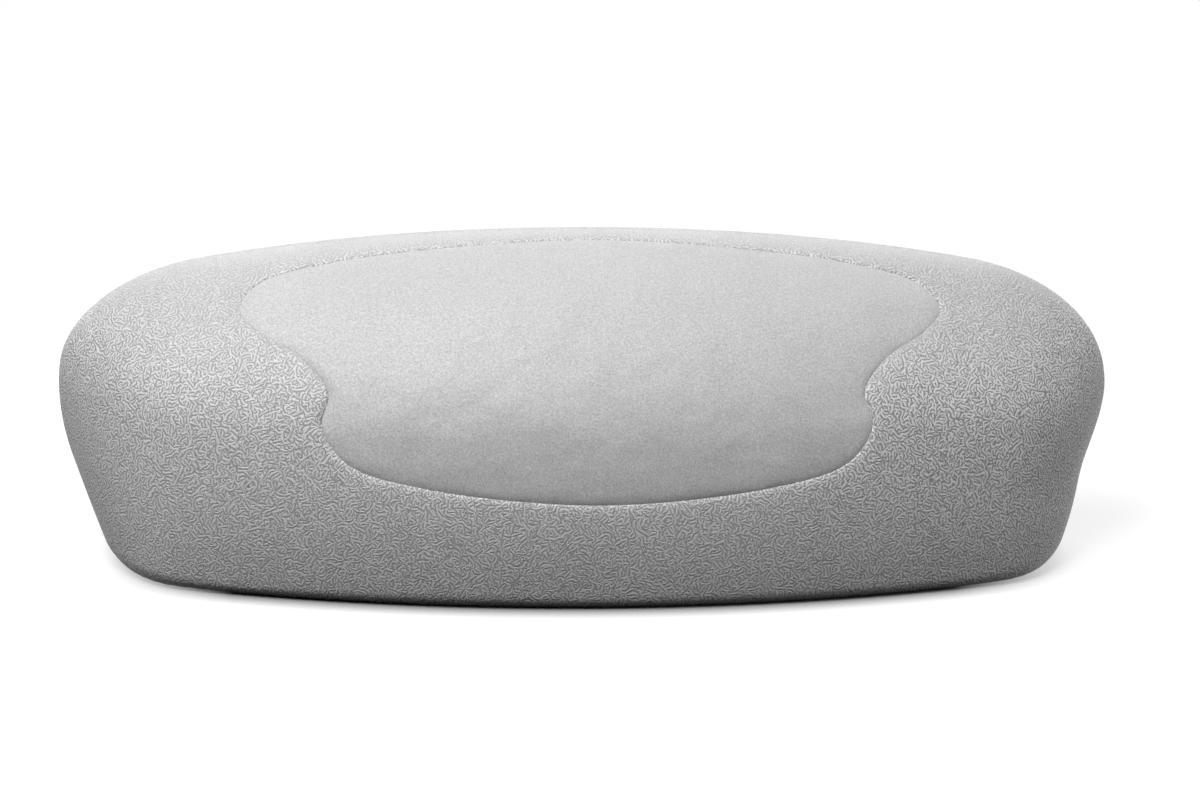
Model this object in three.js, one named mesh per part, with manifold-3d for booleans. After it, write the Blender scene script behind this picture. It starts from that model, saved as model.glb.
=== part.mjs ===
// Bath pillow: a moulded foam headrest with a grained outer skin, a smooth inset head panel and a
// foam core. A flat plate in its back has four keyholes, each holding the stem of a suction cup.
// Millimetres. x runs along the length, y from the front foot to the back, z up from the base.
import * as THREE from 'three';
import { mergeVertices } from 'three/addons/utils/BufferGeometryUtils.js';
import Module from 'manifold-3d';

// Body: a bowed front wall and a crowned top meet in a round brow, between ends that lean outward and
// are rounded more and more toward the shoulders.
const BODY_DEPTH = 91;
const BODY_HEART = 48;
const TOP_HEIGHT = 127;
const TOP_RISE_Y = 169;
const TOP_LENGTH_RADIUS = 1006;
const TOP_CROWN_RADIUS = 426;
const FRONT_PLAN_RADIUS = 466;
const FRONT_WALL_RADIUS = 134;
const FRONT_WALL_Z = 6;
const END_FOOT = 159;
const END_LEAN = 0.483;
const END_FOOT_RADIUS = 18.3;
const END_SOFTENING = 0.508;
const BROW_RADIUS = 38.4;
const BACK_RADIUS = 23;
const FOOT_RADIUS = 4;
const FOOT_END_RADIUS = 8;
const FOOT_END_START = 120;
const BODY_STEPS = [14, 8];
const HOLLOW_STEPS = [10, 5];

// Skin and the gaps between neighbouring pieces.
const SKIN = 4;
const GAP = 0.3;

// Head panel: half of its outline, from its foot up to its top, on a plane that leans back 45 degrees.
const PANEL_FOOT = 27.2;
const PANEL_FOOT_SIDE = [57.4, 33.6];
const PANEL_LOBE_CORNER = [83, 42.7];
const PANEL_LOBE = [91, 54.4];
const PANEL_WAIST = [88.7, 65.3];
const PANEL_WING_ROOT = [96.9, 78.3];
const PANEL_WING = [110.8, 89.7];
const PANEL_TIP = [117.5, 100];
const PANEL_SHOULDER = [110, 111];
const PANEL_TOP_CORNER = [87.5, 117.6];
const PANEL_TOP_SIDE = [57.3, 121.7];
const PANEL_TOP = 125.6;
const PANEL_CROWN = 1.2;
const PANEL_ROLL = 3.2;
const CHANNEL_DEPTH = 1.4;
const CHANNEL_LIP = 1.6;
const PANEL_SIDES = 54;

// Suction cups: a row of four, each with a headed stem.
const CUP_SPACING = 75;
const CUP_Z = 55;
const CUP_RIM_RADIUS = 23;
const CUP_LIP = 2;
const CUP_EDGE = 1.4;
const CUP_STAND = 12;
const CUP_DISH = 7.8;
const CUP_COLLAR_RADIUS = 9;
const CUP_COLLAR = 2.2;
const STEM_RADIUS = 4;
const STEM_HEAD_RADIUS = 7;
const STEM_HEAD = 3;
const STEM_TRAVEL = 11;
const CUP_SIDES = 24;

// Back plate, flush in a window of the skin, with a flange behind the window's edge.
const PLATE_MARGIN_X = 22;
const PLATE_HEIGHT = 60;
const PLATE_CORNER = 14;
const FLANGE_WIDTH = 5;
const FLANGE = 2;

// Caps that keep foam out of the space behind each keyhole.
const CAP_WALL = 1.5;
const CAP_ROOM = 1;

const COLOURS = {
  surround: '#c9c9c9',
  panel: '#cdcdcd',
  foam: '#e8e4d6',
  plate: '#8f9193',
  cup: '#dfe4e6',
};

const BACK_Y = BODY_DEPTH;
const PLATE_FACE = SKIN + GAP;
const PLATE_TOTAL = PLATE_FACE + FLANGE;
const CUP_XS = [-1.5, -0.5, 0.5, 1.5].map((step) => step * CUP_SPACING);
const PLATE_HALF = CUP_XS[3] + PLATE_MARGIN_X;
const DIAGONAL = Math.SQRT1_2;

const wasm = await Module();
wasm.setup();

function toSolid(geometry) {
  const bare = geometry.clone();
  bare.deleteAttribute('normal');
  bare.deleteAttribute('uv');
  const merged = mergeVertices(bare, 1e-4);
  const vertProperties = new Float32Array(merged.attributes.position.array);
  const triVerts = new Uint32Array(merged.index.array);
  return new wasm.Manifold(new wasm.Mesh({ numProp: 3, vertProperties, triVerts }));
}

function toGeometry(solid) {
  const mesh = solid.getMesh();
  const geometry = new THREE.BufferGeometry();
  geometry.setAttribute('position', new THREE.BufferAttribute(new Float32Array(mesh.vertProperties), 3));
  geometry.setIndex(new THREE.BufferAttribute(new Uint32Array(mesh.triVerts), 1));
  geometry.computeVertexNormals();
  return geometry;
}

// Two walls meet: below zero is inside both, and their edge is rounded with the given radius.
function roundedMeet(a, b, radius) {
  const round = Math.hypot(Math.max(a + radius, 0), Math.max(b + radius, 0));
  return Math.min(Math.max(a, b), -radius) + round;
}

// Distance outside a wall that curves both ways, with its apex at the origin and depth measured inward.
function barrel(along, depth, across, longRadius, shortRadius) {
  const reach = Math.hypot(along, longRadius - depth) - (longRadius - shortRadius);
  return Math.hypot(reach, across) - shortRadius;
}

function bodyField({ x, y, z }) {
  const side = Math.abs(x);
  const front = barrel(side, y, z - FRONT_WALL_Z, FRONT_PLAN_RADIUS, FRONT_WALL_RADIUS);
  const top = barrel(side, TOP_HEIGHT - z, y - TOP_RISE_Y, TOP_LENGTH_RADIUS, TOP_CROWN_RADIUS);
  const end = (side - END_FOOT - END_LEAN * z) / Math.hypot(1, END_LEAN);
  const endRadius = END_FOOT_RADIUS + END_SOFTENING * Math.max(z, 0);
  const brow = roundedMeet(front, top, BROW_RADIUS);
  const sides = roundedMeet(brow, end, endRadius);
  const back = roundedMeet(sides, y - BACK_Y, BACK_RADIUS);
  const towardEnd = Math.min(Math.max((x - FOOT_END_START) / (END_FOOT - FOOT_END_START), 0), 1);
  const footRadius = FOOT_RADIUS + (FOOT_END_RADIUS - FOOT_RADIUS) * towardEnd ** 2;
  return roundedMeet(back, -z, footRadius);
}

function bodyNormal(point) {
  const step = 0.05;
  const slope = (axis) => {
    const ahead = point.clone().addScaledVector(axis, step);
    const behind = point.clone().addScaledVector(axis, -step);
    return bodyField(ahead) - bodyField(behind);
  };
  const [x, y, z] = [new THREE.Vector3(1, 0, 0), new THREE.Vector3(0, 1, 0), new THREE.Vector3(0, 0, 1)];
  return new THREE.Vector3(slope(x), slope(y), slope(z)).normalize();
}

// The point on a line where the body's field reaches a level, between a near and a far distance.
function crossing(start, direction, near, far, level) {
  const point = new THREE.Vector3();
  const nearInside = bodyField(point.copy(start).addScaledVector(direction, near)) < level;
  for (let step = 0; step < 40; step += 1) {
    const middle = (near + far) / 2;
    const inside = bodyField(point.copy(start).addScaledVector(direction, middle)) < level;
    if (inside === nearInside) {
      near = middle;
    } else {
      far = middle;
    }
  }
  return point.clone();
}

// Every quad of a convex grid is split along the diagonal that bulges outward.
function splitConvex(geometry) {
  const { index, attributes: { position } } = geometry;
  const corner = (slot) => new THREE.Vector3().fromBufferAttribute(position, slot);
  for (let quad = 0; quad < index.count; quad += 6) {
    const [a, b, d, , c] = index.array.subarray(quad, quad + 6);
    const half = new THREE.Triangle(corner(a), corner(b), corner(d));
    const plane = half.getPlane(new THREE.Plane());
    if (plane.distanceToPoint(corner(c)) > 0) {
      index.array.set([a, b, c, a, c, d], quad);
    }
  }
}

// The body's surface, or one at a depth below it: a box of segments swelled out from an inner core
// that bows back with the front wall.
function bodyGeometry(depth, [lengthSteps, sideSteps]) {
  const geometry = new THREE.BoxGeometry(2, 2, 2, lengthSteps, sideSteps, sideSteps);
  const centre = new THREE.Vector3(0, BODY_DEPTH / 2, BODY_HEART);
  const core = new THREE.Vector3(END_FOOT * 0.82, BODY_DEPTH * 0.11, BODY_HEART * 0.38);
  const place = geometry.attributes.position;
  const corner = new THREE.Vector3();
  for (let index = 0; index < place.count; index += 1) {
    corner.fromBufferAttribute(place, index);
    const start = corner.clone().multiply(core).add(centre);
    start.y += start.x ** 2 / (4 * FRONT_PLAN_RADIUS);
    const point = crossing(start, corner.clone().normalize(), 0, 2 * END_FOOT, -depth);
    place.setXYZ(index, point.x, Math.min(point.y, BACK_Y - depth), Math.max(point.z, depth));
  }
  splitConvex(geometry);
  return geometry;
}

// A point of the leaning panel plane, carried straight onto the body.
function onBody(across, up) {
  const inward = new THREE.Vector3(0, DIAGONAL, -DIAGONAL);
  const start = new THREE.Vector3(across, up * DIAGONAL, up * DIAGONAL);
  const probe = new THREE.Vector3();
  const stride = SKIN / 2;
  let distance = -2 * BODY_DEPTH;
  while (distance < BODY_DEPTH && bodyField(probe.copy(start).addScaledVector(inward, distance)) > 0) {
    distance += stride;
  }
  return crossing(start, inward, distance - stride, distance, 0);
}

function panelOutline() {
  const right = [
    PANEL_FOOT_SIDE, PANEL_LOBE_CORNER, PANEL_LOBE, PANEL_WAIST, PANEL_WING_ROOT,
    PANEL_WING, PANEL_TIP, PANEL_SHOULDER, PANEL_TOP_CORNER, PANEL_TOP_SIDE,
  ];
  const left = right.map(([across, up]) => [-across, up]).reverse();
  const points = [[0, PANEL_FOOT], ...right, [0, PANEL_TOP], ...left];
  const curve = new THREE.CatmullRomCurve3(
    points.map(([across, up]) => new THREE.Vector3(across, up, 0)), true, 'centripetal',
  );
  return curve.getSpacedPoints(PANEL_SIDES).slice(0, PANEL_SIDES);
}

const outline = panelOutline();
const panelCentre = new THREE.Vector3(0, (PANEL_FOOT + PANEL_TOP) / 2, 0);
const rim = outline.map((point) => {
  const place = onBody(point.x, point.y);
  return { place, normal: bodyNormal(place) };
});
rim.forEach((post, index) => {
  const ahead = rim[(index + 1) % rim.length].place;
  const behind = rim[(index + rim.length - 1) % rim.length].place;
  post.outward = ahead.clone().sub(behind).cross(post.normal).normalize();
});

// A ring beside the panel's edge: so far outward along the body and so high above it.
function edgeRing(outward, height) {
  return rim.map(({ place, normal, outward: side }) => (
    place.clone().addScaledVector(side, outward).addScaledVector(normal, height)
  ));
}

// A ring inside the panel, drawn in toward its centre by a share of the way.
function innerRing(share, height) {
  return outline.map((point) => {
    const flat = point.clone().lerp(panelCentre, 1 - share);
    const place = onBody(flat.x, flat.y);
    return place.addScaledVector(bodyNormal(place), height);
  });
}

function panelMiddle(height) {
  const place = onBody(panelCentre.x, panelCentre.y);
  return place.clone().addScaledVector(bodyNormal(place), height);
}

// A closed skin over rings that run from a lower middle point up to an upper one.
function ringGeometry(lower, rings, upper) {
  const sides = rings[0].length;
  const points = [lower, ...rings.flat(), upper];
  const at = (ring, side) => 1 + ring * sides + (side % sides);
  const last = rings.length - 1;
  const index = [];
  for (let side = 0; side < sides; side += 1) {
    index.push(0, at(0, side + 1), at(0, side));
    for (let ring = 0; ring < last; ring += 1) {
      index.push(at(ring, side), at(ring, side + 1), at(ring + 1, side + 1));
      index.push(at(ring, side), at(ring + 1, side + 1), at(ring + 1, side));
    }
    index.push(points.length - 1, at(last, side), at(last, side + 1));
  }
  const geometry = new THREE.BufferGeometry().setFromPoints(points);
  geometry.setIndex(index);
  geometry.computeVertexNormals();
  return geometry;
}

const INNER_SHARES = [0.35, 0.7];
const OUTER_SHARES = [0.88, 0.66, 0.34];

function headPanel() {
  const crown = (share) => PANEL_CROWN * (1 - share * share);
  const rings = [
    ...INNER_SHARES.map((share) => innerRing(share, -SKIN)),
    edgeRing(-GAP / 2, -SKIN),
    edgeRing(-GAP / 2, -CHANNEL_DEPTH),
    edgeRing(-PANEL_ROLL * 0.3, -CHANNEL_DEPTH * 0.4),
    edgeRing(-PANEL_ROLL, 0),
    ...OUTER_SHARES.map((share) => innerRing(share, crown(share))),
  ];
  return ringGeometry(panelMiddle(-SKIN), rings, panelMiddle(PANEL_CROWN));
}

// What the panel and its channel take out of the pieces around it, down to a depth below the body.
function panelCutter(depth) {
  const clear = 8;
  const rings = [
    ...INNER_SHARES.map((share) => innerRing(share, -depth)),
    edgeRing(GAP / 2, -depth),
    edgeRing(GAP / 2, -CHANNEL_DEPTH),
    edgeRing(CHANNEL_LIP, GAP / 2),
    edgeRing(CHANNEL_LIP * 1.5, clear),
  ];
  return ringGeometry(panelMiddle(-depth), rings, panelMiddle(BROW_RADIUS * 2));
}

// A rounded rectangle in the plane of the back, about a centre at the cups' height.
function roundedShape(halfLength, halfHeight, radius, centreX = 0, centreZ = 0) {
  const shape = new THREE.Shape();
  const [right, high] = [halfLength - radius, halfHeight - radius];
  shape.absarc(centreX + right, centreZ - high, radius, -Math.PI / 2, 0, false);
  shape.absarc(centreX + right, centreZ + high, radius, 0, Math.PI / 2, false);
  shape.absarc(centreX - right, centreZ + high, radius, Math.PI / 2, Math.PI, false);
  shape.absarc(centreX - right, centreZ - high, radius, Math.PI, Math.PI * 1.5, false);
  shape.closePath();
  return shape;
}

// A narrow slot above a round entry, about the stem's resting place at its upper end.
function keyhole(centreX) {
  const slot = STEM_RADIUS + GAP;
  const entry = STEM_HEAD_RADIUS + 2 * GAP;
  const mouth = Math.acos(slot / entry);
  const path = new THREE.Path();
  path.absarc(centreX, 0, slot, 0, Math.PI, false);
  path.absarc(centreX, -STEM_TRAVEL, entry, Math.PI - mouth, 2 * Math.PI + mouth, false);
  path.closePath();
  return path;
}

// A slab parallel to the back, between two depths measured inward from the back face.
function backSlab(shape, nearDepth, farDepth, curveSegments = 4) {
  const slab = new THREE.ExtrudeGeometry(shape, {
    depth: farDepth - nearDepth, bevelEnabled: false, curveSegments,
  });
  slab.rotateX(Math.PI / 2);
  slab.translate(0, BACK_Y - nearDepth, CUP_Z);
  return slab;
}

function plateShape(margin, holes) {
  const shape = roundedShape(PLATE_HALF + margin, PLATE_HEIGHT / 2 + margin, PLATE_CORNER + margin);
  if (holes) {
    shape.holes.push(...CUP_XS.map(keyhole));
  }
  return shape;
}

function backPlate() {
  const face = toSolid(backSlab(plateShape(0, true), 0, PLATE_TOTAL));
  const flange = toSolid(backSlab(plateShape(FLANGE_WIDTH, true), PLATE_FACE, PLATE_TOTAL));
  return toGeometry(face.add(flange));
}

const CAP_INNER_DEPTH = STEM_HEAD + 3 * GAP;
const CAP_BACK = PLATE_TOTAL + GAP;

function capShape(centreX, wall) {
  const halfWidth = STEM_HEAD_RADIUS + CAP_ROOM + wall;
  const halfHeight = STEM_TRAVEL / 2 + halfWidth;
  return roundedShape(halfWidth, halfHeight, halfWidth * 0.7, centreX, -STEM_TRAVEL / 2);
}

function pocketCap(centreX) {
  const outside = backSlab(capShape(centreX, CAP_WALL), CAP_BACK, CAP_BACK + CAP_INNER_DEPTH + CAP_WALL);
  const inside = backSlab(capShape(centreX, 0), CAP_BACK - GAP, CAP_BACK + CAP_INNER_DEPTH);
  return toGeometry(toSolid(outside).subtract(toSolid(inside)));
}

// A cup turned about its stem: headed stem, collar, thin bell, flat lip and dished face.
function suctionCup() {
  const headTop = -PLATE_TOTAL - GAP;
  const lipRadius = CUP_RIM_RADIUS - CUP_LIP;
  const dishFloor = CUP_STAND - CUP_DISH;
  const collarTop = GAP + CUP_COLLAR;
  const bell = (share) => new THREE.Vector2(
    THREE.MathUtils.lerp(CUP_COLLAR_RADIUS, CUP_RIM_RADIUS, share),
    THREE.MathUtils.lerp(collarTop, CUP_STAND - CUP_EDGE, share ** 1.15),
  );
  const dish = (share) => new THREE.Vector2(lipRadius * share, dishFloor + CUP_DISH * share * share);
  const profile = [
    new THREE.Vector2(0, headTop - STEM_HEAD),
    new THREE.Vector2(STEM_HEAD_RADIUS * 0.9, headTop - STEM_HEAD),
    new THREE.Vector2(STEM_HEAD_RADIUS, headTop - STEM_HEAD * 0.8),
    new THREE.Vector2(STEM_HEAD_RADIUS, headTop),
    new THREE.Vector2(STEM_RADIUS, headTop),
    new THREE.Vector2(STEM_RADIUS, GAP),
    new THREE.Vector2(CUP_COLLAR_RADIUS, GAP),
    ...[0, 0.35, 0.7, 1].map(bell),
    new THREE.Vector2(CUP_RIM_RADIUS, CUP_STAND),
    ...[1, 0.75, 0.5, 0.25, 0].map(dish),
  ];
  return new THREE.LatheGeometry(profile, CUP_SIDES);
}

function surroundSkin(outer) {
  const window = backSlab(plateShape(GAP, false), -SKIN, 2 * SKIN);
  const hollow = toSolid(bodyGeometry(SKIN, HOLLOW_STEPS));
  const rebate = backSlab(plateShape(FLANGE_WIDTH + GAP, false), SKIN, 3 * SKIN);
  const cuts = [hollow, toSolid(panelCutter(3 * SKIN)), toSolid(window), toSolid(rebate)];
  return toGeometry(cuts.reduce((skin, cut) => skin.subtract(cut), outer));
}

function foamCore() {
  const recess = backSlab(plateShape(FLANGE_WIDTH + GAP, false), -SKIN, CAP_BACK);
  const caps = CUP_XS.map((x) => (
    toSolid(backSlab(capShape(x, CAP_WALL + GAP), 0, CAP_BACK + CAP_INNER_DEPTH + CAP_WALL + GAP))
  ));
  const whole = toSolid(bodyGeometry(SKIN + GAP, HOLLOW_STEPS));
  const cuts = [toSolid(panelCutter(SKIN + GAP)), toSolid(recess), ...caps];
  return toGeometry(cuts.reduce((core, cut) => core.subtract(cut), whole));
}

function piece(name, geometry, colour, roughness) {
  const material = new THREE.MeshStandardMaterial({ color: colour, roughness, metalness: 0 });
  const mesh = new THREE.Mesh(geometry, material);
  mesh.name = name;
  return mesh;
}

const outerBody = bodyGeometry(0, BODY_STEPS);
outerBody.computeBoundingBox();

const assembly = new THREE.Group();
assembly.add(piece('surround_skin', surroundSkin(toSolid(outerBody)), COLOURS.surround, 0.55));
assembly.add(piece('head_panel', headPanel(), COLOURS.panel, 0.45));
assembly.add(piece('foam_core', foamCore(), COLOURS.foam, 0.9));
assembly.add(piece('back_plate', backPlate(), COLOURS.plate, 0.5));
CUP_XS.forEach((x, index) => {
  assembly.add(piece(`pocket_cap_${index + 1}`, pocketCap(x), COLOURS.plate, 0.5));
  const cup = piece(`suction_cup_${index + 1}`, suctionCup(), COLOURS.cup, 0.25);
  cup.position.set(x, BACK_Y, CUP_Z);
  assembly.add(cup);
});

// The origin is under the middle of the whole pillow, cups included.
assembly.position.y = -(outerBody.boundingBox.min.y + BACK_Y + CUP_STAND) / 2;
const pillow = new THREE.Group();
pillow.add(assembly);

export default pillow;
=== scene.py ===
"""Bath pillow: a moulded foam headrest with a grained skin, a smooth head panel and suction cups.

The body is one smooth formula in millimetres (x along the length, y from the front foot to the
back, z up). The solids follow the same one, apart from the right end's bulge and dent. The skin and
the panel are meshed on it, ring by ring, out from the channel between them.
"""
import math

import bmesh
import bpy
import numpy as np
from mathutils import Matrix, Vector
from mathutils.geometry import tessellate_polygon
from mathutils.kdtree import KDTree


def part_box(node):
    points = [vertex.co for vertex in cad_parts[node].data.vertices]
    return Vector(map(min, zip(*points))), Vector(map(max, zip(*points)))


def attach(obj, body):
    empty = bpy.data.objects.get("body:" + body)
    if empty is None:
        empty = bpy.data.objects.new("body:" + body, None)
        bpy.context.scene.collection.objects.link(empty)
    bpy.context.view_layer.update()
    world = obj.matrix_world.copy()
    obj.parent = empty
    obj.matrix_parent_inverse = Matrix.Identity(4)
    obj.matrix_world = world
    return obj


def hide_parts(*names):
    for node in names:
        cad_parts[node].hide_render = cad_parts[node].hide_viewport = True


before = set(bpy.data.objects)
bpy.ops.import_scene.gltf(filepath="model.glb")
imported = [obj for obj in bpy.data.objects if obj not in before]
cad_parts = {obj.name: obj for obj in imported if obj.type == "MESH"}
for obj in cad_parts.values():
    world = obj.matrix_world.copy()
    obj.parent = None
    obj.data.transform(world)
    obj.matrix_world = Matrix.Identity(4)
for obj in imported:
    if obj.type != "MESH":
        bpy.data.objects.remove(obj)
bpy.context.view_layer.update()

MM = 0.001

# Body.
BODY_DEPTH = 91.0
TOP_HEIGHT = 127.0
TOP_RISE_Y = 169.0
TOP_LENGTH_RADIUS = 1006.0
TOP_CROWN_RADIUS = 426.0
FRONT_PLAN_RADIUS = 466.0
FRONT_WALL_RADIUS = 134.0
FRONT_WALL_Z = 6.0
END_FOOT = 159.0
END_LEAN = 0.483
END_FOOT_RADIUS = 18.3
END_SOFTENING = 0.508
BROW_RADIUS = 38.4
BACK_RADIUS = 23.0
FOOT_RADIUS = 4.0
FOOT_END_RADIUS = 8.0
FOOT_END_START = 120.0
BODY_CENTRE = (0.0, 46.0, 48.0)
SKIN = 4.0
GAP = 0.3

# The right end stands out a little past the left one, with a bulge and a soft dent below it.
RIGHT_START = 110.0
RIGHT_FULLER = 0.7
RIGHT_BULGE = 0.9
RIGHT_BULGE_Z = 54.0
RIGHT_DENT = 1.3
RIGHT_DENT_Z = 29.0
RIGHT_REACH = 9.5

# Suction cups, the plate that holds them and the caps behind it.
CUP_RIM_RADIUS = 23.0
CUP_LIP = 2.0
CUP_EDGE = 1.4
CUP_STAND = 12.0
CUP_DISH = 7.8
CUP_COLLAR_RADIUS = 9.0
CUP_COLLAR = 2.2
STEM_RADIUS = 4.0
STEM_HEAD_RADIUS = 7.0
STEM_HEAD = 3.0
STEM_TRAVEL = 11.0
PLATE_CORNER = 14.0
FLANGE_WIDTH = 5.0
FLANGE = 2.0
CAP_WALL = 1.5
CAP_ROOM = 1.0
CAP_CORNER_SHARE = 0.7

# Rounded edges of the plate and the cups, and the curve of a cup's bell.
EDGE = 0.6
SHARP_DEGREES = 35.0
STEM_HEAD_ROUND = 1.1
STEM_HEAD_BACK_ROUND = 0.5
STEM_ROUND = 0.4
COLLAR_ROUND = 0.6
BELL_ROOT_ROUND = 0.8
BELL_RIM_ROUND = 0.35
BELL_FLARE = 1.15
RIM_ROUND = 0.5
LIP_ROUND = 0.6
DISH_START = 0.95

# Head panel: half of its outline, from foot to top, on a plane that leans back 45 degrees.
PANEL_HALF = [
    (0.0, 27.2), (57.4, 33.6), (83.0, 42.7), (91.0, 54.4), (88.7, 65.3), (96.9, 78.3),
    (110.8, 89.7), (117.5, 100.0), (110.0, 111.0), (87.5, 117.6), (57.3, 121.7), (0.0, 125.6),
]
PANEL_CROWN = 1.2
PANEL_CROWN_REACH = 22.0
PANEL_INSET = 0.45
PANEL_ROLL = 1.2
SEAM_DEPTH = 1.0
SEAM_FADE = 0.75
SEAM_FADE_AT = (-110.8, 89.7)
SEAM_FADE_REACH = 18.0
LOBE_DEEPER = 0.4
LOBE_AT = (88.7, 65.3)
LOBE_REACH = 12.0
LIP_ROLL = 0.8
LIP_SWELL = 4.0

# Meshing. The rays that find the long body's surface are squeezed along its length.
LENGTH_SQUEEZE = 0.42
HALVINGS = 36
LANDING_STEPS = 90
LANDING_SHARE = 0.6
CURVE_STEPS = 60
SLOT_STEPS = 17
ENTRY_STEPS = 41
SILL_TURNS = (30, 60, 90)
SIDES = 360
ARC_STEPS = 320
NEAR_RINGS = np.cumsum(np.linspace(0.16, 1.25, 16))
FAR_RINGS = 110
INNER_EVERY = 4
PANEL_RINGS = 46
PANEL_RING_POWER = 1.9
PANEL_INNER_EVERY = 9
FAR_FROM_SEAM = 50.0
CORE_RINGS = 72
CORE_SIDES = 64
BELL_STEPS = 15
DISH_STEPS = 20
CUP_SIDES = 96

# Grained skin. Tones are added to its grey, painted light and shade among them. A stop is how far
# it faces up and the value there.
# A little darker than the panel's grey: painted shade of the grain's valleys.
SURROUND_GREY = 0.5
SURROUND_PATCH = 0.015
SURROUND_PATCH_SCALE = 28.0
GRAIN_PITCH = 1.36 * MM
GRAIN_WANDER = 0.62
GRAIN_CELL = 0.69
GRAIN_WAVES = 1.7
# Painted shade in the grain's valleys and painted light on its ridges, by how far the skin faces
# up: fainter where it faces the light.
GRAIN_SHADE_BY_FACING = ((0.1, 0.17), (0.5, 0.23), (0.6, 0.23), (1.0, 0.028))
GRAIN_RELIEF = 0.12 * MM
GRAIN_ROUGHNESS = (0.58, 0.44)
# Painted shade: the grain's tone grows toward the right end, where the light grazes the skin.
RIGHT_PAINTED_CONTRAST = 1.35
RIGHT_PAINTED_CONTRAST_SPAN = (60 * MM, 110 * MM)
# Painted sheen: the brow is made paler where the skin faces about half up.
BROW_PAINTED_SHEEN = ((0.4, 0.0), (0.62, 0.045), (0.7, 0.045), (0.9, 0.0))
# Painted light: the top strip above the brow is made paler, higher up, except where it faces back.
CREST_PAINTED_LIGHT = 0.07
PAINTED_CREST_SPAN = (91 * MM, 101 * MM)
PAINTED_CREST_FACING = (-0.1, 0.15)
FINE_SCALE = 4200.0
FINE_RELIEF = 0.02 * MM
PIT_SPACING = 13 * MM
PIT_FLOOR = 0.6
SURROUND_PIT_RADIUS = 0.35 * MM
# Painted shade darkens each pinhole, which has no relief of its own.
SURROUND_PIT_SHADE = 0.4

# Smooth skin of the panel.
PANEL_GREY = 0.53
PANEL_PATCH = 0.012
PANEL_PATCH_SCALE = 34.0
PANEL_GRAIN_SCALE = 1900.0
# Painted shade: the panel's fine tone is fainter where it faces up, as the light falls.
PANEL_GRAIN_SHADE_BY_FACING = ((0.75, 0.115), (0.95, 0.075))
PANEL_RELIEF = 0.08 * MM
PANEL_ROUGHNESS = (0.55, 0.48)
PANEL_WAVE_SCALE = 60.0
PANEL_WAVES = 1.2 * MM
PANEL_PIT_RADIUS = 0.3 * MM
# Painted shade darkens each pinhole, which has no relief of its own.
PANEL_PIT_SHADE = 0.35

# Studio.
PHOTO_WIDTH = 1200
LAMP_AIM = (0.0, 0.0, 0.055)
FLOOR_SIZE = 40.0
# The floor's painted shadow where the pillow meets it: the open share from full shade to none, and
# the span along the length where it fades out toward the ends.
PAINTED_CONTACT_OPEN = (0.5, 0.9)
PAINTED_CONTACT_SPAN = (120 * MM, 165 * MM)

# Where the body's own axes lie in the frame.
plate_low, plate_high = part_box("back_plate")
BODY_Y = plate_high[1] / MM - BODY_DEPTH
PLATE_HALF = (plate_high[0] - plate_low[0]) / 2 / MM - FLANGE_WIDTH
PLATE_RISE = (plate_high[2] - plate_low[2]) / 2 / MM - FLANGE_WIDTH
CUP_Z = (plate_high[2] + plate_low[2]) / 2 / MM
PLATE_FACE = SKIN + GAP
PLATE_TOTAL = PLATE_FACE + FLANGE
CAP_DEPTH = PLATE_TOTAL + GAP + STEM_HEAD + 3 * GAP + CAP_WALL
CUPS = [1, 2, 3, 4]


def middle_x(node):
    """The middle of a node's box along the length."""
    low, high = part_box(node)
    return (low[0] + high[0]) / 2 / MM


CUP_XS = [middle_x(f"suction_cup_{cup}") for cup in CUPS]


def to_frame(points):
    """Body millimetres to the frame's metres."""
    return (np.asarray(points) + (0.0, BODY_Y, 0.0)) * MM


def rounded_meet(a, b, radius):
    """Two walls meet: below zero is inside both, with their edge rounded."""
    round_edge = np.hypot(np.maximum(a + radius, 0.0), np.maximum(b + radius, 0.0))
    return np.minimum(np.maximum(a, b), -radius) + round_edge


def barrel(along, depth, across, long_radius, short_radius):
    """Distance outside a wall curved both ways, with its apex at the origin."""
    reach = np.hypot(along, long_radius - depth) - (long_radius - short_radius)
    return np.hypot(reach, across) - short_radius


def right_shift(x, z):
    """How far the right end stands out past the left one."""
    toward = np.clip((x - RIGHT_START) / (END_FOOT - RIGHT_START), 0.0, 1.0)
    bulge = RIGHT_BULGE * np.exp(-(((z - RIGHT_BULGE_Z) / RIGHT_REACH) ** 2))
    dent = RIGHT_DENT * np.exp(-(((z - RIGHT_DENT_Z) / RIGHT_REACH) ** 2))
    return (RIGHT_FULLER + bulge - dent) * toward**2 * (3.0 - 2.0 * toward)


def body_field(points):
    """Below zero inside the body, above it outside: about a point's distance from its surface."""
    x, y, z = points[..., 0], points[..., 1], points[..., 2]
    x = np.abs(x - right_shift(x, z))
    front = barrel(x, y, z - FRONT_WALL_Z, FRONT_PLAN_RADIUS, FRONT_WALL_RADIUS)
    top = barrel(x, TOP_HEIGHT - z, y - TOP_RISE_Y, TOP_LENGTH_RADIUS, TOP_CROWN_RADIUS)
    end = (x - END_FOOT - END_LEAN * z) / math.hypot(1, END_LEAN)
    end_radius = END_FOOT_RADIUS + END_SOFTENING * np.maximum(z, 0.0)
    sides = rounded_meet(rounded_meet(front, top, BROW_RADIUS), end, end_radius)
    back = rounded_meet(sides, y - BODY_DEPTH, BACK_RADIUS)
    toward_end = np.clip((x - FOOT_END_START) / (END_FOOT - FOOT_END_START), 0.0, 1.0)
    foot_radius = FOOT_RADIUS + (FOOT_END_RADIUS - FOOT_RADIUS) * toward_end**2
    return rounded_meet(back, -z, foot_radius)


def unit(vectors):
    return vectors / np.linalg.norm(vectors, axis=-1, keepdims=True)


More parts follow.
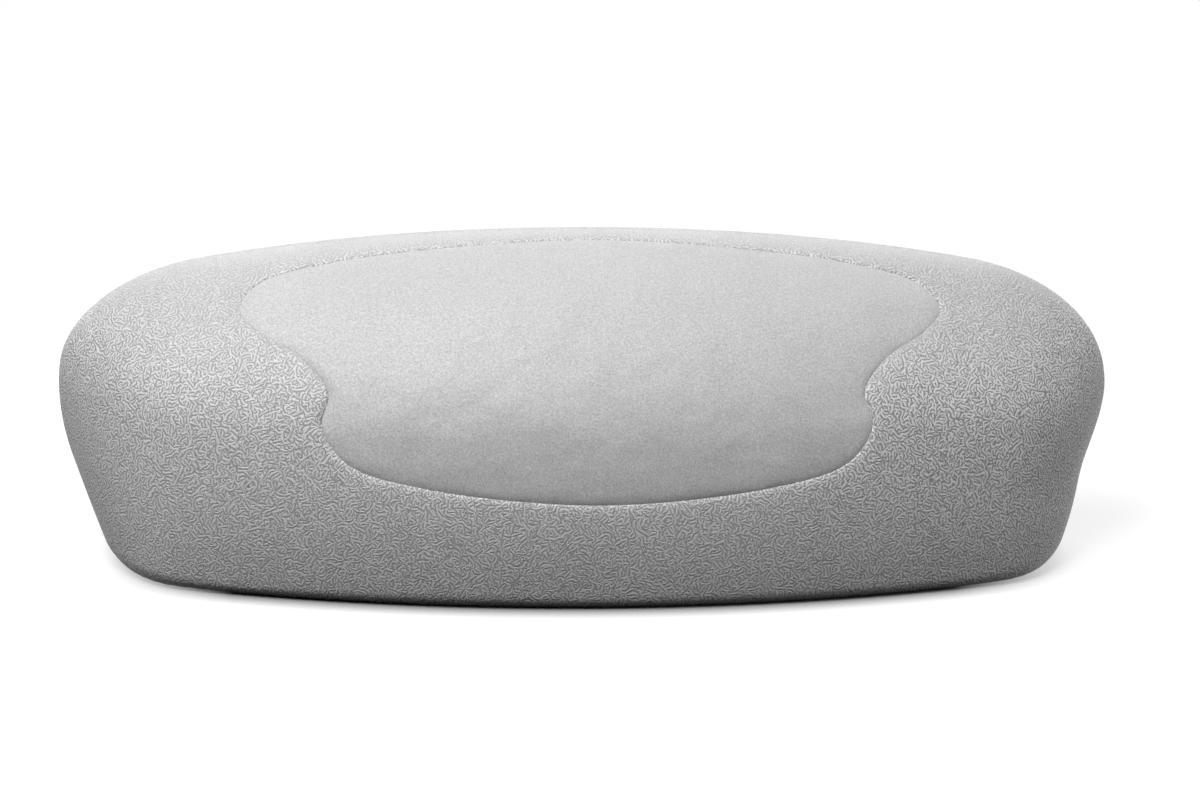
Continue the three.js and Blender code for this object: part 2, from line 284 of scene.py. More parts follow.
def body_normal(points, step=0.05):
    """The way out of the body at each point."""
    slopes = [
        body_field(points + offset) - body_field(points - offset)
        for offset in np.eye(3) * step
    ]
    return unit(np.stack(slopes, axis=-1))


def shoot_out(centre, directions, depth=0.0):
    """Where rays from inside the body leave it, or a level below its surface."""
    near = np.zeros(directions.shape[:-1])
    far = np.full(directions.shape[:-1], 2.0 * END_FOOT)
    for _ in range(HALVINGS):
        middle = (near + far) / 2
        inside = body_field(centre + directions * middle[..., None]) < -depth
        near = np.where(inside, middle, near)
        far = np.where(inside, far, middle)
    return centre + directions * far[..., None]


def on_body(plane):
    """Points of the leaning panel plane, carried straight onto the body."""
    across, up = plane[..., 0], plane[..., 1] * math.sqrt(0.5)
    inward = np.array([0.0, 1.0, -1.0]) * math.sqrt(0.5)
    points = np.stack([across, up, up], axis=-1) - inward * 2 * BODY_DEPTH
    for _ in range(LANDING_STEPS):
        points = points + inward * LANDING_SHARE * body_field(points)[..., None]
    return points


def smooth_loop(points, count):
    """A closed curve through the points, evenly stepped along its length."""
    p = np.asarray(points)
    before, after, beyond = np.roll(p, 1, 0), np.roll(p, -1, 0), np.roll(p, -2, 0)
    d0, d1, d2 = (
        np.sqrt(np.linalg.norm(b - a, axis=1, keepdims=True))
        for a, b in ((before, p), (p, after), (after, beyond))
    )
    leave = ((p - before) / d0 - (after - before) / (d0 + d1) + (after - p) / d1) * d1
    arrive = ((after - p) / d1 - (beyond - p) / (d1 + d2) + (beyond - after) / d2) * d1
    t = np.linspace(0, 1, CURVE_STEPS, endpoint=False)[None, :, None]
    curve = (
        p[:, None] * (2 * t**3 - 3 * t**2 + 1)
        + leave[:, None] * (t**3 - 2 * t**2 + t)
        + after[:, None] * (3 * t**2 - 2 * t**3)
        + arrive[:, None] * (t**3 - t**2)
    ).reshape(-1, p.shape[1])
    return even_loop(curve, count)


def even_loop(curve, count):
    """The same closed curve, stepped evenly."""
    closed = np.concatenate([curve, curve[:1]])
    length = np.concatenate([[0], np.cumsum(np.linalg.norm(np.diff(closed, axis=0), axis=1))])
    at = np.linspace(0, length[-1], count, endpoint=False)
    return np.stack([np.interp(at, length, closed[:, k]) for k in range(curve.shape[1])], axis=1)


def panel_loop(count):
    """The panel's outline on its leaning plane."""
    right = PANEL_HALF[1:-1]
    left = [(-x, y) for x, y in reversed(right)]
    return smooth_loop([PANEL_HALF[0], *right, PANEL_HALF[-1], *left], count)


def back_box(half_x, half_z, radius, x=0.0, z=None, turns=17):
    """A rounded rectangle on the back face, from the middle of its foot round by +x."""
    z = CUP_Z if z is None else z
    loop = [(x, z - half_z)]
    for start, side, level in ((-90, 1, -1), (0, 1, 1), (90, -1, 1), (180, -1, -1)):
        for turn in np.radians(np.linspace(start, start + 90, turns)):
            loop.append((
                x + side * (half_x - radius) + radius * math.cos(turn),
                z + level * (half_z - radius) + radius * math.sin(turn),
            ))
    flat = np.array(loop)
    return np.stack([flat[:, 0], np.full(len(flat), BODY_DEPTH), flat[:, 1]], axis=1)


def plate_loop(margin):
    """The plate's outline in the skin, grown by a margin."""
    return back_box(PLATE_HALF + margin, PLATE_RISE + margin, PLATE_CORNER + margin)


def cap_loop(x, margin):
    """The room behind a keyhole that the stem's head slides in, grown by a margin."""
    half = STEM_HEAD_RADIUS + CAP_ROOM + margin
    corner = half * CAP_CORNER_SHARE
    return back_box(half, STEM_TRAVEL / 2 + half, corner, x, CUP_Z - STEM_TRAVEL / 2)


def keyhole_loop(x, margin):
    """A narrow slot above a round entry, about the stem's resting place at its upper end."""
    slot = STEM_RADIUS + GAP + margin
    entry = STEM_HEAD_RADIUS + 2 * GAP + margin
    mouth = math.acos(slot / entry)
    upper = np.linspace(0, math.pi, SLOT_STEPS)
    lower = np.linspace(math.pi - mouth, 2 * math.pi + mouth, ENTRY_STEPS)
    across = np.concatenate([slot * np.cos(upper), entry * np.cos(lower)])
    up = np.concatenate([slot * np.sin(upper), entry * np.sin(lower) - STEM_TRAVEL])
    return np.stack([x + across, np.full(len(up), BODY_DEPTH), CUP_Z + up], axis=1)


def sink(loop, depth):
    """A loop of the back face, moved into the body."""
    return loop - (0.0, depth, 0.0)


def mesh_object(name, points, faces):
    """A smooth-shaded piece, its faces turned outward."""
    mesh = bpy.data.meshes.new(name)
    mesh.from_pydata(to_frame(points).tolist(), [], faces)
    work = bmesh.new()
    work.from_mesh(mesh)
    bmesh.ops.recalc_face_normals(work, faces=work.faces)
    work.to_mesh(mesh)
    work.free()
    mesh.polygons.foreach_set("use_smooth", [True] * len(mesh.polygons))
    obj = bpy.data.objects.new(name, mesh)
    bpy.context.scene.collection.objects.link(obj)
    return obj


def ring_faces(rings, sides, closed=False):
    """Quads between rings of points, and from the last ring to the first where they close."""
    faces = []
    last = rings if closed else rings - 1
    for ring in range(last):
        low, high = ring * sides, ((ring + 1) % rings) * sides
        faces += [
            (low + k, low + (k + 1) % sides, high + (k + 1) % sides, high + k) for k in range(sides)
        ]
    return faces


def capped_faces(rings, sides):
    """Quads between rings, and a fan at each end to one of the two points that follow the rings."""
    last, low, high = (rings - 1) * sides, rings * sides, rings * sides + 1
    fans = [(low, (k + 1) % sides, k) for k in range(sides)]
    fans += [(high, last + k, last + (k + 1) % sides) for k in range(sides)]
    return ring_faces(rings, sides) + fans


def distance_to(loop, points):
    """Each point's distance from a closed loop of closely spaced points."""
    tree = KDTree(len(loop))
    for index, point in enumerate(loop):
        tree.insert(point, index)
    tree.balance()
    flat = points.reshape(-1, 3)
    return np.array([tree.find(point)[2] for point in flat]).reshape(points.shape[:-1])


def closeness(points, place, reach):
    """1 at a place of the panel plane, falling off round it."""
    away = np.linalg.norm(points - on_body(np.array(place)), axis=-1)
    return np.exp(-((away / reach) ** 2))


def seam_share(points):
    """The seam runs out on one upper flank and is deepest round the two lobes of the surround."""
    mirrored = points * (-1.0, 1.0, 1.0)
    lobes = closeness(points, LOBE_AT, LOBE_REACH) + closeness(mirrored, LOBE_AT, LOBE_REACH)
    return 1 + LOBE_DEEPER * lobes - SEAM_FADE * closeness(points, SEAM_FADE_AT, SEAM_FADE_REACH)


def lip_height(distance, share):
    """The surround's edge rises out of the seam: a quick roll, then a long low swell."""
    return -share * SEAM_DEPTH * (np.exp(-distance / LIP_ROLL) + np.exp(-distance / LIP_SWELL)) / 2


def panel_height(distance, share):
    """The panel's edge rolls down to the seam, and its middle is crowned."""
    dip = PANEL_INSET + (SEAM_DEPTH - PANEL_INSET) * np.exp(-distance / PANEL_ROLL)
    return PANEL_CROWN * (1 - np.exp(-distance / PANEL_CROWN_REACH)) - share * dip


def make_surround():
    """The grained skin: rings from the seam over the body to the plate, and back inside."""
    centre = np.array(BODY_CENTRE)
    squeeze = np.array([LENGTH_SQUEEZE, 1.0, 1.0])
    start = on_body(panel_loop(SIDES))
    finish = even_loop(plate_loop(GAP + EDGE), SIDES)
    a, b = unit((start - centre) * squeeze), unit((finish - centre) * squeeze)
    angle = np.arccos((a * b).sum(1))[None, :, None]
    t = np.linspace(0, 1, ARC_STEPS)[:, None, None]
    arcs = (np.sin((1 - t) * angle) * a + np.sin(t * angle) * b) / np.sin(angle)
    dense = shoot_out(centre, unit(arcs / squeeze))
    steps = np.linalg.norm(np.diff(dense, axis=0), axis=2)
    length = np.concatenate([np.zeros((1, SIDES)), np.cumsum(steps, axis=0)])
    outer = np.empty((1 + len(NEAR_RINGS) + FAR_RINGS, SIDES, 3))
    for k in range(SIDES):
        far = np.linspace(NEAR_RINGS[-1], length[-1, k], FAR_RINGS + 1)[1:]
        at = np.concatenate([[0.0], NEAR_RINGS, far])
        for axis in range(3):
            outer[:, k, axis] = np.interp(at, length[:, k], dense[:, k, axis])
    normal = body_normal(outer)
    distance = distance_to(on_body(panel_loop(4 * SIDES)), outer)
    skin = outer + normal * lip_height(distance, seam_share(outer))[..., None]
    inner = (outer - normal * SKIN)[::INNER_EVERY][::-1]
    sill = []
    for turn in np.radians(SILL_TURNS):
        ring = even_loop(plate_loop(GAP + EDGE * (1 - math.sin(turn))), SIDES)
        sill.append(sink(ring, EDGE * (1 - math.cos(turn))))
    foot = sink(even_loop(plate_loop(GAP), SIDES), SKIN)
    rings = np.concatenate([skin, sill, foot[None], inner])
    return mesh_object("surround", rings.reshape(-1, 3), ring_faces(len(rings), SIDES, closed=True))


def make_panel():
    """The smooth panel, in rings from the seam to its middle, with its inside below."""
    edge = panel_loop(SIDES)
    middle = np.array([0.0, (PANEL_HALF[0][1] + PANEL_HALF[-1][1]) / 2])
    share = 1 - np.linspace(0, 1, PANEL_RINGS + 1)[:-1] ** PANEL_RING_POWER
    plane = middle + (edge - middle) * share[:, None, None]
    base = on_body(plane)
    normal = body_normal(base)
    distance = distance_to(on_body(panel_loop(4 * SIDES)), base)
    outer = base + normal * panel_height(distance, seam_share(base))[..., None]
    inner = (base - normal * SKIN)[::PANEL_INNER_EVERY][::-1]
    rings = np.concatenate([inner, outer])
    tip = on_body(middle)
    up = body_normal(tip)
    ends = np.stack([tip - up * SKIN, tip + up * panel_height(FAR_FROM_SEAM, 1.0)])
    points = np.concatenate([rings.reshape(-1, 3), ends])
    return mesh_object("panel", points, capped_faces(len(rings), SIDES))


def prism(name, loop, near, far):
    """A closed block behind a loop of the back face, between two depths."""
    count = len(loop)
    points = np.concatenate([sink(loop, near), sink(loop, far)])
    faces = ring_faces(2, count) + [tuple(range(count)), tuple(range(count, 2 * count))]
    return mesh_object(name, points, faces)


def cut_away(obj, cutters):
    """Takes the cutters' shapes out of a piece, and the cutters out of the scene."""
    for cutter in cutters:
        boolean = obj.modifiers.new("cut", "BOOLEAN")
        boolean.operation = "DIFFERENCE"
        boolean.solver = "EXACT"
        boolean.object = cutter
    bpy.context.view_layer.update()
    done = obj.evaluated_get(bpy.context.evaluated_depsgraph_get())
    mesh = bpy.data.meshes.new_from_object(done)
    obj.modifiers.clear()
    obj.data = mesh
    for cutter in cutters:
        bpy.data.objects.remove(cutter)


def make_core():
    """The foam inside: the body less its skin, with room for the plate and the caps."""
    centre = np.array(BODY_CENTRE)
    tilt = np.linspace(0, math.pi, CORE_RINGS + 2)[1:-1, None]
    turn = np.linspace(0, 2 * math.pi, CORE_SIDES, endpoint=False)[None]
    directions = np.stack([
        np.broadcast_to(np.cos(tilt) / LENGTH_SQUEEZE, (CORE_RINGS, CORE_SIDES)),
        np.sin(tilt) * np.cos(turn),
        np.sin(tilt) * np.sin(turn),
    ], axis=-1)
    surface = shoot_out(centre, unit(directions), SKIN + GAP).reshape(-1, 3)
    poles = shoot_out(centre, np.array([[1.0, 0.0, 0.0], [-1.0, 0.0, 0.0]]), SKIN + GAP)
    points = np.concatenate([surface, poles])
    core = mesh_object("core", points, capped_faces(CORE_RINGS, CORE_SIDES))
    room = [prism("recess", plate_loop(FLANGE_WIDTH + GAP), -SKIN, PLATE_TOTAL + GAP)]
    room += [prism("room", cap_loop(x, CAP_WALL + GAP), 0.0, CAP_DEPTH + GAP) for x in CUP_XS]
    cut_away(core, room)
    return core


def edge_round(steps=4):
    """Steps of a rounded edge: how far in from the side and how deep, as shares of its radius."""
    turns = np.linspace(0, math.pi / 2, steps + 1)
    return [(1 - math.sin(turn), 1 - math.cos(turn)) for turn in turns]


def make_plate():
    """The back plate with its flange and keyholes, every edge rounded."""
    lip = EDGE / 2
    outside = [sink(plate_loop(-EDGE * a), EDGE * b) for a, b in edge_round()]
    outside += [
        sink(plate_loop(margin), depth)
        for margin, depth in (
            (0.0, PLATE_FACE),
            (FLANGE_WIDTH - lip, PLATE_FACE),
            (FLANGE_WIDTH, PLATE_FACE + lip),
            (FLANGE_WIDTH, PLATE_TOTAL - lip),
            (FLANGE_WIDTH - lip, PLATE_TOTAL),
        )
    ]
    walls = [outside]
    for x in CUP_XS:
        hole = [sink(keyhole_loop(x, EDGE * a), EDGE * b) for a, b in edge_round()]
        walls.append([*hole, sink(keyhole_loop(x, 0.0), PLATE_TOTAL)])
    points, faces, firsts, lasts = [], [], [], []
    for wall in walls:
        count, base = len(wall[0]), sum(len(p) for p in points)
        faces += [tuple(base + k for k in face) for face in ring_faces(len(wall), count)]
        firsts.append((base, wall[0]))
        lasts.append((base + (len(wall) - 1) * count, wall[-1]))
        points += wall
    for ends in (firsts, lasts):
        index = np.concatenate([base + np.arange(len(loop)) for base, loop in ends])
        loops = [[Vector(point) for point in loop] for _, loop in ends]
        faces += [tuple(int(index[k]) for k in triangle) for triangle in tessellate_polygon(loops)]
    plate = mesh_object("plate", np.concatenate(points), faces)
    plate.data.set_sharp_from_angle(angle=math.radians(SHARP_DEGREES))
    return plate


def rounded_profile(corners, steps=5):
    """A line of (radius, height) corners, each rounded off by its third value."""
    line = []
    for index, (radius, height, fillet) in enumerate(corners):
        here = np.array([radius, height])
        if not fillet:
            line.append(here)
            continue
        back = unit(np.array(corners[index - 1][:2]) - here)
        on = unit(np.array(corners[index + 1][:2]) - here)
        half = math.acos(back @ on) / 2
        centre = here + unit(back + on) * fillet / math.sin(half)
        a, b = (here + way * fillet / math.tan(half) - centre for way in (back, on))
        sweep = math.pi - 2 * half
        for share in np.linspace(0, 1, steps + 1):
            spoke = math.sin((1 - share) * sweep) * a + math.sin(share * sweep) * b
            line.append(centre + spoke / math.sin(sweep))
    return np.array(line)


def cup_profile():
    """Half of a cup's section, from its stem's head to its dish: radius and height off the back."""
    head = -PLATE_TOTAL - GAP
    collar = GAP + CUP_COLLAR
    lip = CUP_RIM_RADIUS - CUP_LIP
    bell = [
        (
            CUP_COLLAR_RADIUS + (CUP_RIM_RADIUS - CUP_COLLAR_RADIUS) * share,
            collar + (CUP_STAND - CUP_EDGE - collar) * share**BELL_FLARE,
        )
        for share in np.linspace(0, 1, BELL_STEPS)
    ]
    dish = [
        (lip * share, CUP_STAND - CUP_DISH * (1 - share**2), 0)
        for share in np.linspace(DISH_START, 0, DISH_STEPS)
    ]
    return rounded_profile([
        (0, head - STEM_HEAD, 0),
        (STEM_HEAD_RADIUS, head - STEM_HEAD, STEM_HEAD_ROUND),
        (STEM_HEAD_RADIUS, head, STEM_HEAD_BACK_ROUND),
        (STEM_RADIUS, head, STEM_ROUND),
        (STEM_RADIUS, GAP, STEM_ROUND),
        (CUP_COLLAR_RADIUS, GAP, COLLAR_ROUND),
        (*bell[0], BELL_ROOT_ROUND),
        *[(radius, height, 0) for radius, height in bell[2:-1]],
        (*bell[-1], BELL_RIM_ROUND),
        (CUP_RIM_RADIUS, CUP_STAND, RIM_ROUND),
        (lip, CUP_STAND, LIP_ROUND),
        *dish,
    ])


def make_cup(cup, x):
    """A suction cup: its profile turned about the stem."""
    profile = cup_profile()
    turn = np.linspace(0, 2 * math.pi, CUP_SIDES, endpoint=False)
    rings = np.stack([
        x + profile[1:-1, :1] * np.cos(turn),
        np.broadcast_to(BODY_DEPTH + profile[1:-1, 1:], (len(profile) - 2, CUP_SIDES)),
        CUP_Z + profile[1:-1, :1] * np.sin(turn),
    ], axis=-1)
    ends = [(x, BODY_DEPTH + profile[end, 1], CUP_Z) for end in (0, -1)]
    points = np.concatenate([rings.reshape(-1, 3), ends])
    return mesh_object(f"cup_{cup}", points, capped_faces(len(rings), CUP_SIDES))


# Materials.
def new_material(name, colour, roughness, **sockets):
    """A material and its shader. A socket's name has an underscore for each space."""
    material = bpy.data.materials.new(name)
    material.use_nodes = True
    shader = material.node_tree.nodes["Principled BSDF"]
    shader.inputs["Base Color"].default_value = (*colour, 1.0)
    shader.inputs["Roughness"].default_value = roughness
    for socket, value in sockets.items():
        shader.inputs[socket.replace("_", " ")].default_value = value
    return material, shader


class Nodes:
    """Short calls that add nodes to one material."""

    def __init__(self, material):
        self.tree = material.node_tree

    def add(self, kind, **values):
        node = self.tree.nodes.new(kind)
        for name, value in values.items():
            setattr(node, name, value)
        return node

    def link(self, output, socket):
        self.tree.links.new(output, socket)

    def place(self):
        return self.add("ShaderNodeTexCoord").outputs["Object"]

    def share(self, vector, axis):
        """One axis of a vector."""
        split = self.add("ShaderNodeSeparateXYZ")
        self.link(vector, split.inputs["Vector"])
        return split.outputs[axis]

    def facing(self, axis):
        """How far the surface faces along an axis: for Z, 1 on a level top and 0 on a wall."""
        return self.share(self.add("ShaderNodeNewGeometry").outputs["Normal"], axis)

    def ramp(self, value, *stops):
        """A value that runs straight from stop to stop, each a place and the value there."""
        node = self.add("ShaderNodeValToRGB")
        elements = node.color_ramp.elements
        while len(elements) < len(stops):
            elements.new(1.0)
        for element, (place, number) in zip(elements, stops):
            element.position = place
            element.color = (number, number, number, 1.0)
        self.link(value, node.inputs["Fac"])
        return node.outputs["Color"]

    def noise(self, scale, detail=2.0, roughness=0.5):
        node = self.add("ShaderNodeTexNoise")
        node.inputs["Scale"].default_value = scale
        node.inputs["Detail"].default_value = detail
        node.inputs["Roughness"].default_value = roughness
        self.link(self.place(), node.inputs["Vector"])
        return node.outputs["Fac"]

    def worms(self, pitch):
        """A labyrinth of even ridges that wander over a surface: 1 on a ridge, 0 in a valley."""
        wander = self.add("ShaderNodeTexNoise")
        wander.inputs["Scale"].default_value = GRAIN_WANDER / pitch
        wander.inputs["Detail"].default_value = 0.0
        self.link(self.place(), wander.inputs["Vector"])
        centred = self.add("ShaderNodeVectorMath", operation="SUBTRACT")
        centred.inputs[1].default_value = (0.5, 0.5, 0.5)
        self.link(wander.outputs["Color"], centred.inputs[0])
        along = self.add("ShaderNodeVectorMath", operation="CROSS_PRODUCT")
        self.link(centred.outputs["Vector"], along.inputs[0])
        self.link(self.add("ShaderNodeNewGeometry").outputs["Normal"], along.inputs[1])
        heading = self.add("ShaderNodeVectorMath", operation="NORMALIZE")
        self.link(along.outputs["Vector"], heading.inputs[0])
        node = self.add("ShaderNodeTexGabor", gabor_type="3D")
        node.inputs["Scale"].default_value = GRAIN_CELL / pitch
        node.inputs["Frequency"].default_value = GRAIN_WAVES
        node.inputs["Anisotropy"].default_value = 1.0
        self.link(self.place(), node.inputs["Vector"])
        self.link(heading.outputs["Vector"], node.inputs["Orientation"])
        turn = self.math("MULTIPLY", node.outputs["Phase"], 2 * math.pi)
        wave = self.add("ShaderNodeMath", operation="COSINE")
        self.link(turn, wave.inputs[0])
        return self.remap(wave.outputs["Value"], -1.0, 1.0, 0.0, 1.0)

    def remap(self, value, low, high, to_low, to_high):
        node = self.add("ShaderNodeMapRange")
        ends = {"From Min": low, "From Max": high, "To Min": to_low, "To Max": to_high}
        for socket, number in ends.items():
            node.inputs[socket].default_value = number
        self.link(value, node.inputs["Value"])
        return node.outputs["Result"]

    def spread(self, noise, low, high):
        """Noise, which lies mostly between 0.3 and 0.7, from one value to another."""
        return self.remap(noise, 0.3, 0.7, low, high)

    def math(self, operation, a, b):
        node = self.add("ShaderNodeMath", operation=operation)
        for socket, value in zip(node.inputs, (a, b)):
            if isinstance(value, (int, float)):
                socket.default_value = value
            else:
                self.link(value, socket)
        return node.outputs["Value"]

    def grey(self, value):
        node = self.add("ShaderNodeCombineColor")
        for socket in ("Red", "Green", "Blue"):
            self.link(value, node.inputs[socket])
        return node.outputs["Color"]

    def blend(self, share, first, second):
        node = self.add("ShaderNodeMixShader")
        for socket, output in zip(node.inputs, (share, first, second)):
            self.link(output, socket)
        return node.outputs["Shader"]

    def bump(self, height, distance, normal=None):
        node = self.add("ShaderNodeBump")
        node.inputs["Strength"].default_value = 1.0
        node.inputs["Distance"].default_value = distance
        self.link(height, node.inputs["Height"])
        if normal is not None:
            self.link(normal, node.inputs["Normal"])
        return node.outputs["Normal"]

    def pinholes(self, spacing, radius):
        """One where a tiny pit lies, zero elsewhere."""
        node = self.add("ShaderNodeTexVoronoi", feature="F1")
        node.inputs["Scale"].default_value = 1.0 / spacing
        self.link(self.place(), node.inputs["Vector"])
        rim = radius / spacing
        return self.remap(node.outputs["Distance"], rim, PIT_FLOOR * radius / spacing, 0.0, 1.0)


def grained_skin():
    """Leather grain whose valleys hold painted shade, fainter where the skin faces up and stronger
    toward the right end, with a painted sheen at the brow and painted light on the crest.
    """
    material, shader = new_material("grained_skin", (SURROUND_GREY,) * 3, 0.5)
    nodes = Nodes(material)
    worms = nodes.worms(GRAIN_PITCH)
    upward = nodes.facing("Z")
    # Painted shade and light of the grain: fainter where the skin faces up, stronger toward the
    # right end.
    depth = nodes.ramp(upward, *GRAIN_SHADE_BY_FACING)
    # Painted shade: a stronger grain tone toward the right end.
    painted_right_contrast = nodes.remap(nodes.share(nodes.place(), "X"), *RIGHT_PAINTED_CONTRAST_SPAN, 1.0, RIGHT_PAINTED_CONTRAST)
    ridges = nodes.math("MULTIPLY", nodes.remap(worms, 0.0, 1.0, -1.0, 1.0), painted_right_contrast)
    grain = nodes.math("MULTIPLY", ridges, depth)
    patches = nodes.spread(
        nodes.noise(SURROUND_PATCH_SCALE, 3.0),
        SURROUND_GREY - SURROUND_PATCH,
        SURROUND_GREY + SURROUND_PATCH,
    )
    pinholes = nodes.pinholes(PIT_SPACING, SURROUND_PIT_RADIUS)
    # Painted shade in the pinholes.
    painted_pit_shade = nodes.math("MULTIPLY", pinholes, SURROUND_PIT_SHADE)
    # Painted sheen along the brow.
    brow = nodes.ramp(upward, *BROW_PAINTED_SHEEN)
    # Painted light on the crest: paler higher up, except where the skin faces back.
    front = nodes.remap(nodes.facing("Y"), *PAINTED_CREST_FACING, 1.0, 0.0)
    high = nodes.remap(nodes.share(nodes.place(), "Z"), *PAINTED_CREST_SPAN, 0.0, CREST_PAINTED_LIGHT)
    crest = nodes.math("MULTIPLY", high, front)
    skin = nodes.math("ADD", patches, nodes.math("ADD", brow, crest))
    tone = nodes.math("SUBTRACT", nodes.math("ADD", grain, skin), painted_pit_shade)
    nodes.link(nodes.grey(tone), shader.inputs["Base Color"])
    nodes.link(nodes.remap(worms, 0.0, 1.0, *GRAIN_ROUGHNESS), shader.inputs["Roughness"])
    fine = nodes.bump(nodes.noise(FINE_SCALE), FINE_RELIEF)
    nodes.link(nodes.bump(worms, GRAIN_RELIEF, fine), shader.inputs["Normal"])
    return material


def smooth_skin():
    """A fine, nearly even skin, faintly wavy, with painted shade in a few pinholes; its fine tone
    fades where it faces up, as painted shade.
    """
    material, shader = new_material("smooth_skin", (PANEL_GREY,) * 3, 0.45)
    nodes = Nodes(material)
    fine = nodes.noise(PANEL_GRAIN_SCALE, 1.0)
    patches = nodes.spread(
        nodes.noise(PANEL_PATCH_SCALE, 4.0), PANEL_GREY - PANEL_PATCH, PANEL_GREY + PANEL_PATCH
    )
    pinholes = nodes.pinholes(PIT_SPACING, PANEL_PIT_RADIUS)
    # Painted shade in the pinholes.
    painted_pit_shade = nodes.math("MULTIPLY", pinholes, PANEL_PIT_SHADE)
    # Painted shade: the fine tone fades where the panel faces up.
    depth = nodes.ramp(nodes.facing("Z"), *PANEL_GRAIN_SHADE_BY_FACING)
    grain = nodes.math("MULTIPLY", nodes.spread(fine, -1.0, 1.0), depth)
    tone = nodes.math("SUBTRACT", nodes.math("ADD", grain, patches), painted_pit_shade)
    nodes.link(nodes.grey(tone), shader.inputs["Base Color"])
    nodes.link(nodes.spread(fine, *PANEL_ROUGHNESS), shader.inputs["Roughness"])
    wavy = nodes.bump(nodes.noise(PANEL_WAVE_SCALE), PANEL_WAVES)
    nodes.link(nodes.bump(fine, PANEL_RELIEF, wavy), shader.inputs["Normal"])
    return material


def open_foam():
    """Cream foam with fine open cells."""
    material, shader = new_material("foam", (0.72, 0.7, 0.62), 0.9)
    nodes = Nodes(material)
    cells = nodes.noise(1800.0, 3.0, 0.6)
    tone = nodes.add("ShaderNodeValToRGB")
    tone.color_ramp.elements[0].color = (0.55, 0.52, 0.44, 1.0)
    tone.color_ramp.elements[1].color = (0.8, 0.78, 0.7, 1.0)
    nodes.link(cells, tone.inputs["Fac"])
    nodes.link(tone.outputs["Color"], shader.inputs["Base Color"])
    nodes.link(nodes.bump(cells, 0.4 * MM), shader.inputs["Normal"])
    return material


def moulded_plastic():
    """Dark grey plastic with a fine spark-eroded texture."""
    material, shader = new_material("plate_plastic", (0.27, 0.275, 0.28), 0.42)
    nodes = Nodes(material)
    spark = nodes.noise(2600.0, 2.0, 0.6)
    flow = nodes.noise(45.0, 3.0)
    nodes.link(nodes.grey(nodes.spread(flow, 0.262, 0.288)), shader.inputs["Base Color"])
    nodes.link(nodes.spread(spark, 0.36, 0.5), shader.inputs["Roughness"])
    nodes.link(nodes.bump(spark, 0.05 * MM), shader.inputs["Normal"])
    return material


def clear_pvc():
    """Clear, slightly hazy soft plastic."""
    material, shader = new_material(
        "cup_pvc",
        (0.86, 0.91, 0.93),
        roughness=0.16,
        IOR=1.53,
        Transmission_Weight=0.86,
        Specular_IOR_Level=0.5,
    )
    nodes = Nodes(material)
    haze = nodes.noise(110.0, 3.0)
    nodes.link(nodes.spread(haze, 0.1, 0.24), shader.inputs["Roughness"])
    nodes.link(nodes.bump(nodes.noise(420.0, 2.0), 0.02 * MM), shader.inputs["Normal"])
    return material


def set_material(obj, material):
    obj.data.materials.clear()
    obj.data.materials.append(material)


surround = make_surround()
set_material(surround, grained_skin())
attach(surround, "pillow")
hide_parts("surround_skin")

panel = make_panel()
set_material(panel, smooth_skin())
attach(panel, "pillow")
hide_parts("head_panel")

core = make_core()
set_material(core, open_foam())
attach(core, "pillow")
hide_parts("foam_core")

plastic = moulded_plastic()
plate = make_plate()
set_material(plate, plastic)
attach(plate, "pillow")
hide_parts("back_plate")
for cup in CUPS:
    set_material(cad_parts[f"pocket_cap_{cup}"], plastic)

pvc = clear_pvc()
for cup, cup_x in zip(CUPS, CUP_XS):
    piece = make_cup(cup, cup_x)
    set_material(piece, pvc)
    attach(piece, f"cup_{cup}")
    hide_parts(f"suction_cup_{cup}")


# Floor, world, lamps and camera.
def white_to_the_eye(tree):
    """One for rays that see the surface directly, in a mirror or through glass."""
    path = tree.nodes.new("ShaderNodeLightPath")
    total = path.outputs["Is Camera Ray"]
    for name in ("Is Glossy Ray", "Is Transmission Ray"):
        node = tree.nodes.new("ShaderNodeMath")
        node.operation = "MAXIMUM"
        tree.links.new(total, node.inputs[0])
        tree.links.new(path.outputs[name], node.inputs[1])
        total = node.outputs["Value"]
    return total


